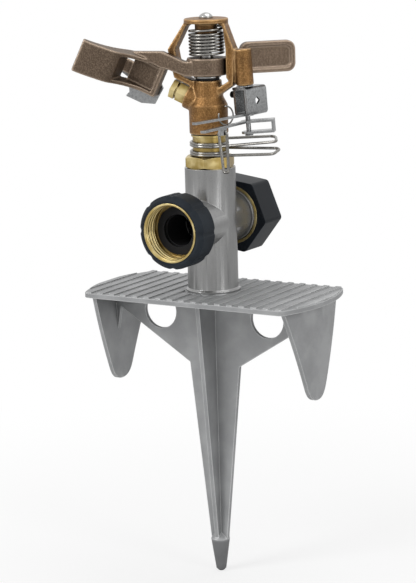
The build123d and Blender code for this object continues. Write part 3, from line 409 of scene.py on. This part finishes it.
def steel(name, base, dark, roughness, grain=900.0, stretch=None):
    p = Paint(name)
    brushed = p.noise(grain, 2.0, stretch=stretch)
    cornerShade = p.cornerShadeMask(0.0025)
    wearAndEdgeHighlight = p.edges(0.0003)
    colour = p.blend(brushed.step(0.35, 0.7) * 0.3, base, dark)
    # painted shade: corners and cavities darkened towards the dark colour
    colour = p.blend(cornerShade * 0.85, colour, dark)
    # sharp edges lightened towards near white: partly edge wear, partly a painted highlight
    colour = p.blend(wearAndEdgeHighlight * 0.5, colour, (0.86, 0.86, 0.86))
    return p.finish(Base_Color=colour, Metallic=0.95, Roughness=roughness + brushed * 0.12,
                    Normal=p.bump(brushed, 0.1, 0.00004))


finishes = {
    "grey_casting": greyCasting(),
    "satin_zinc": satinZinc(),
    "black_tail": moulded("blackTail", (0.012, 0.012, 0.013), (0.03, 0.03, 0.032), 0.4, 1800.0, 0.00004),
    "brass": yellowBrass(),
    "rubber": moulded("swivelRubber", (0.010, 0.0135, 0.018), (0.032, 0.041, 0.052), 0.5, 2200.0, 0.00008),
    "black_plastic": moulded("capPlastic", (0.0055, 0.0075, 0.0105), (0.022, 0.029, 0.038), 0.36, 1700.0, 0.00005),
    "spring_steel": steel("springWire", (0.25, 0.24, 0.22), (0.012, 0.011, 0.01), 0.13),
    "bronze": castBronze(),
    "arm_bronze": armBronze(),
    "stainless": steel("pressedSteel", (0.34, 0.345, 0.347), (0.04, 0.04, 0.042), 0.22),
    "polished_steel": steel("polishedSteel", (0.5, 0.5, 0.49), (0.1, 0.095, 0.09), 0.12),
    "seal": moulded("sealRubber", (0.01, 0.01, 0.011), (0.03, 0.03, 0.03), 0.5, 1500.0, 0.00005),
    "white_bush": moulded("naturalBush", (0.62, 0.60, 0.55), (0.75, 0.73, 0.68), 0.4, 900.0, 0.00003),
}
print("finishes made:", len(finishes))


# a finished piece rides with the node that it stands for and takes that node's finish
standing = []


def settle(piece, *nodes):
    standing.append(nodes)
    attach(piece, bodyOf[nodes[0]])
    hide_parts(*nodes)
    piece.data.materials.clear()
    piece.data.materials.append(finishes[slotOf[nodes[0]]])
    return piece


# a merged copy of a CAD node, flat faces joined up, its edges rounded
def dressed(node, width=0.25, segments=2, angle=32.0, melt=0.6):
    piece = frame["nodes"][node].copy()
    piece.data = frame["nodes"][node].data.copy()
    piece.name = node + "Dressed"
    scene.collection.objects.link(piece)
    piece.parent = None
    work = bmesh.new()
    work.from_mesh(piece.data)
    bmesh.ops.remove_doubles(work, verts=work.verts, dist=2e-6)
    bmesh.ops.dissolve_limit(work, angle_limit=math.radians(melt), verts=work.verts, edges=work.edges)
    work.to_mesh(piece.data)
    work.free()
    piece.data.polygons.foreach_set("use_smooth", np.ones(len(piece.data.polygons), bool))
    piece.data.set_sharp_from_angle(angle=math.radians(angle))
    if width:
        rounding = piece.modifiers.new("edges", "BEVEL")
        rounding.width, rounding.segments = width * mm, segments
        rounding.limit_method, rounding.angle_limit = "ANGLE", math.radians(angle)
        rounding.use_clamp_overlap = True
        rounding.harden_normals = True
    return piece


# ---- set: pale floor under the tip, white surround, soft lamps ----

def makeSet():
    look = dict(ground=0.9, white=1.0, fill=0.42)
    world = bpy.data.worlds.new("whiteStudio")
    scene.world = world
    world.use_nodes = True
    tree = world.node_tree
    background = tree.nodes["Background"]
    rays = tree.nodes.new("ShaderNodeLightPath")
    seen = tree.nodes.new("ShaderNodeMath")
    seen.operation = "MAXIMUM"
    tree.links.new(rays.outputs["Is Camera Ray"], seen.inputs[0])
    tree.links.new(rays.outputs["Is Transmission Ray"], seen.inputs[1])
    shiny = tree.nodes.new("ShaderNodeMath")
    shiny.operation = "MAXIMUM"
    tree.links.new(seen.outputs[0], shiny.inputs[0])
    tree.links.new(rays.outputs["Is Glossy Ray"], shiny.inputs[1])
    level = tree.nodes.new("ShaderNodeMapRange")
    level.inputs["To Min"].default_value = look["fill"]
    level.inputs["To Max"].default_value = look["white"]
    tree.links.new(shiny.outputs[0], level.inputs["Value"])
    background.inputs["Color"].default_value = (1, 1, 1, 1)
    tree.links.new(level.outputs[0], background.inputs["Strength"])

    low, high = cadBounds
    reach = 3.0
    ground = makeMesh("paleFloor", np.array([[-reach, -reach, 0], [reach, -reach, 0], [reach, reach, 0],
                                             [-reach, reach, 0]]) / mm + [0, 0, low[2] / mm - 0.05], [(0, 1, 2, 3)])
    p = Paint("paleFloor")
    away = p.node("ShaderNodeVectorMath", {"operation": "LENGTH"}, {0: p.object}, out="Value")
    p.finish(Base_Color=(look["ground"],) * 3, Roughness=0.8)
    glow = p.tree.nodes.new("ShaderNodeEmission")
    glow.inputs["Strength"].default_value = 1.0
    rays = p.node("ShaderNodeLightPath", {}, {}, out="Is Camera Ray")
    mixed = p.tree.nodes.new("ShaderNodeMixShader")
    p.feed(mixed.inputs[0], rays * (away.step(0.1, 0.4) * 0.3 + 0.7))
    p.tree.links.new(p.shader.outputs[0], mixed.inputs[1])
    p.tree.links.new(glow.outputs[0], mixed.inputs[2])
    p.tree.links.new(mixed.outputs[0], p.tree.nodes["Material Output"].inputs["Surface"])
    ground.data.materials.append(p.material)


def lamp(name, spot, size, power, aim=(0, 0, 0.03)):
    data = bpy.data.lights.new(name, "AREA")
    data.shape, data.size, data.size_y, data.energy = "RECTANGLE", size[0], size[1], power
    made = bpy.data.objects.new(name, data)
    scene.collection.objects.link(made)
    made.location = spot
    made.rotation_euler = (Vector(aim) - Vector(spot)).to_track_quat("-Z", "Y").to_euler()


makeSet()
lamp("keyLamp", (-0.55, -0.95, 0.75), (0.5, 0.7), 8.0)
lamp("fillLamp", (1.1, -0.35, 0.45), (0.35, 0.9), 3.5)
lamp("topLamp", (0.15, 0.25, 1.2), (0.8, 0.8), 3.5)
scene.view_settings.view_transform = "Standard"
print("set and lamps placed")

# ---- castings: the CAD form gone over with a fine voxel skin, then smoothed so that every edge is soft ----

castLooks = {
    "head_body": dict(voxel=0.38, passes=9),
    "arm": dict(voxel=0.36, passes=7),
}


def castPiece(node, look):
    piece = dressed(node, width=0, melt=0.1)
    skin = piece.modifiers.new("skin", "REMESH")
    skin.mode, skin.voxel_size = "VOXEL", look["voxel"] * mm
    soft = piece.modifiers.new("soft", "SMOOTH")
    soft.factor, soft.iterations = 0.5, look["passes"]
    graph = bpy.context.evaluated_depsgraph_get()
    solid = bpy.data.meshes.new_from_object(piece.evaluated_get(graph))
    piece.modifiers.clear()
    piece.data = solid
    solid.polygons.foreach_set("use_smooth", np.ones(len(solid.polygons), bool))
    return settle(piece, node)


for node, look in castLooks.items():
    castPiece(node, look)
print("castings skinned")


# ---- arm spring: seven close turns, then one long turn up to its hook in the cap ----

def makeArmSpring():
    look = dict(radius=8.35, wire=0.64, foot=121.2, pitch=1.6, close=7.0, turns=8.0, top=135.0,
                cap=138.4, start=104.0, perTurn=48)
    t = np.linspace(0, look["turns"], int(look["turns"] * look["perTurn"]) + 1)
    z = np.interp(t, [0, look["close"], look["turns"]],
                  [look["foot"], look["foot"] + look["close"] * look["pitch"], look["top"]])
    angle = 2 * np.pi * t + np.radians(look["start"] - 360 * (look["turns"] % 1))
    path = np.stack([look["radius"] * np.cos(angle), look["radius"] * np.sin(angle), z], -1)
    hook = path[-1] + [[0, 0, 0.9], [0, 0, look["cap"] - look["top"]]]
    path = np.concatenate([path[:-1], roundPath(np.concatenate([path[-2:], hook]), 0.8)[1:]])
    settle(wireMesh("armSpringWire", path, look["wire"], 14, reference=(0.3, 0.2, 1)), "arm_spring")


# ---- friction collars: round the sleeve one and a half times, both ends out to a closed finger loop ----

collarLooks = {
    "collar_lower": dict(foot=72.0, near=11.0, far=28.0),
    "collar_upper": dict(foot=76.35, near=34.0, far=51.0),
}


def makeCollar(node, look):
    wire, ring, pitch = 0.725, 9.125, 1.75
    reach, slant, bend, nearRise, farRise = 33.5, 2.0, 3.0, 0.4, 0.1
    leave = 77.0
    angle = np.radians(np.linspace(look["near"] - leave, look["far"] + leave - 720, 140))
    z = np.linspace(look["foot"], look["foot"] + pitch, len(angle))
    wrap = np.stack([ring * np.cos(angle), ring * np.sin(angle), z], -1)
    nearEnd = reach * turned(look["near"]) + upward * (look["foot"] + nearRise)
    farEnd = (reach + slant) * turned(look["far"]) + upward * (look["foot"] + pitch + farRise)
    loop = roundPath([wrap[-1], farEnd, nearEnd, wrap[0]], bend, steps=12)
    path = np.concatenate([wrap, dividePath(loop, 1.5)[1:-1]])
    settle(wireMesh(node + "Wire", path, wire, 14, closed=True), node)


# ---- trip pin's own frame, which leans towards the nozzle ----

tripFrame = dict(lean=3.5, out=19.3, foot=106.3)
tripLean = math.radians(tripFrame["lean"])
tripUp = upward * math.cos(tripLean) - headX * math.sin(tripLean)
tripOut = headX * math.cos(tripLean) + upward * math.sin(tripLean)
tripFoot = headX * tripFrame["out"] + upward * tripFrame["foot"]


def tripSpot(turn, along, across=0.0, rise=0.0):  # a place along and across a turned direction, up the pin
    ahead = turned(turn, tripOut, headY)
    return tripFoot + ahead * along + np.cross(tripUp, ahead) * across + tripUp * rise


def makeBail():
    look = dict(turn=251.0, reach=21.9, top=-20.2, half=2.5, footHalf=1.4, drop=20.0, bend=1.1, wire=0.725)
    h, f, low = look["half"], look["footHalf"], look["top"] - look["drop"]
    corners = [tripSpot(look["turn"], look["reach"], a, z) for a, z in
               ((-0.1, look["top"]), (-h, look["top"]), (-f, low), (f, low), (h, look["top"]), (0.1, look["top"]))]
    path = dividePath(roundPath(corners, look["bend"], steps=8), 1.5)
    ahead = turned(look["turn"], tripOut, headY)
    settle(wireMesh("bailWire", path, look["wire"], 14, reference=ahead), "trip_bail")


def makeToggle():
    look = dict(turn=236.0, along=12.0, across=-2.2, rise=-13.6, radius=4.6, wire=0.4, first=-20.0, sweep=290.0)
    centre = tripSpot(look["turn"], look["along"], look["across"], look["rise"])
    ahead = turned(look["turn"], tripOut, headY)
    angle = np.radians(np.linspace(look["first"], look["first"] + look["sweep"], 70))[:, None]
    path = centre + look["radius"] * (np.cos(angle) * ahead - np.sin(angle) * tripUp)
    settle(wireMesh("toggleWire", path, look["wire"], 12, reference=np.cross(tripUp, ahead)), "toggle_spring")


makeArmSpring()
for node, look in collarLooks.items():
    makeCollar(node, look)
makeBail()
makeToggle()
print("springs and wires wound")


# ---- hose threads ----

hoseAxis = dict(origin=(0, 0, 38.1), axis=(0, -1, 0), flat=(1, 0, 0))
hosePitch = 25.4 / 11.5


# thread: a raised cosine of (along / pitch - turn), squared off, and faded out at both ends
def threadRelief(low, high, depth, fade=0.8):
    def relief(r, h, t):
        wave = 0.5 + 0.5 * np.cos(2 * np.pi * (h / hosePitch) - t)
        flat = np.clip((wave - 0.28) / 0.44, 0, 1)
        inside = np.clip((h - low) / fade, 0, 1) * np.clip((high - h) / fade, 0, 1)
        return depth * flat * flat * (3 - 2 * flat) * inside
    return relief


# a lathe profile with its corners rounded and its threaded stretch finely divided
def turnedPiece(name, node, corners, rounding, thread=None, step=0.16, sides=128):
    profile = roundPath(corners, rounding, steps=4, closed=True)
    profile = dividePath(np.concatenate([profile, profile[:1]]), step if thread else 50.0)[:-1]
    relief = None
    if thread:
        wall, low, high, depth = thread
        shape = threadRelief(low, high, depth)

        def relief(r, h, t):
            return np.where(np.abs(r - wall) < 0.02, shape(r, h, t), 0.0)
    return settle(lathe(name, profile, sides=sides, relief=relief, **hoseAxis), node)


swivel = dict(mouth=40.0, back=26.9, outer=14.75, thread=13.5, relief=13.9, threadEnd=32.1, seat=29.6,
              pocket=12.3, pocketEnd=28.2, bore=9.4, depth=0.72)
s_ = swivel
turnedPiece("swivelNut", "inlet_nut", [
    (s_["outer"], s_["mouth"]), (s_["thread"] + 0.45, s_["mouth"]), (s_["thread"], s_["mouth"] - 0.45),
    (s_["thread"], s_["threadEnd"]), (s_["relief"], s_["threadEnd"]), (s_["relief"], s_["seat"]),
    (s_["pocket"], s_["seat"]), (s_["pocket"], s_["pocketEnd"]), (s_["bore"], s_["pocketEnd"]),
    (s_["bore"], s_["back"]), (s_["outer"], s_["back"])],
    0.18, thread=(s_["thread"], s_["threadEnd"] - 0.1, s_["mouth"] - 0.2, s_["depth"]))

nipple = dict(root=-11.0, boss=-18.7, end=-30.5, thread=13.3, tail=9.0, bore=7.8, depth=-0.85)
n_ = nipple
turnedPiece("outletNipple", "outlet_nipple", [
    (n_["tail"], n_["root"]), (n_["tail"], n_["boss"]), (n_["thread"], n_["boss"]),
    (n_["thread"], n_["end"]), (n_["bore"], n_["end"]), (n_["bore"], n_["root"])],
    0.25, thread=(n_["thread"], n_["end"] + 0.3, n_["boss"] - 0.6, n_["depth"]))

insert = dict(front=-19.2, end=-30.5, outer=15.0, thread=13.6, depth=0.8)
i_ = insert
turnedPiece("capInsert", "cap_insert", [
    (i_["outer"], i_["front"]), (i_["outer"], i_["end"]), (i_["thread"], i_["end"]), (i_["thread"], i_["front"])],
    0.15, thread=(i_["thread"], i_["end"] + 0.1, i_["front"] - 0.2, i_["depth"]))
print("threads cut")

# ---- everything else: the CAD form with its edges rounded ----

edgeWidths = {
    "step_spike": 0.35, "riser_tee": 0.3, "inlet_grip": 0.6, "outlet_cap": 0.7, "bearing_nut": 0.3,
    "nozzle": 0.3, "trip_bracket": 0.22, "trip_lever": 0.22, "fulcrum_pin": 0.15, "deflector_flap": 0.22,
}
for node in frame["nodes"]:
    if not any(node in stood for stood in standing):
        settle(dressed(node, edgeWidths.get(node, 0.18)), node)
print("remaining nodes dressed")
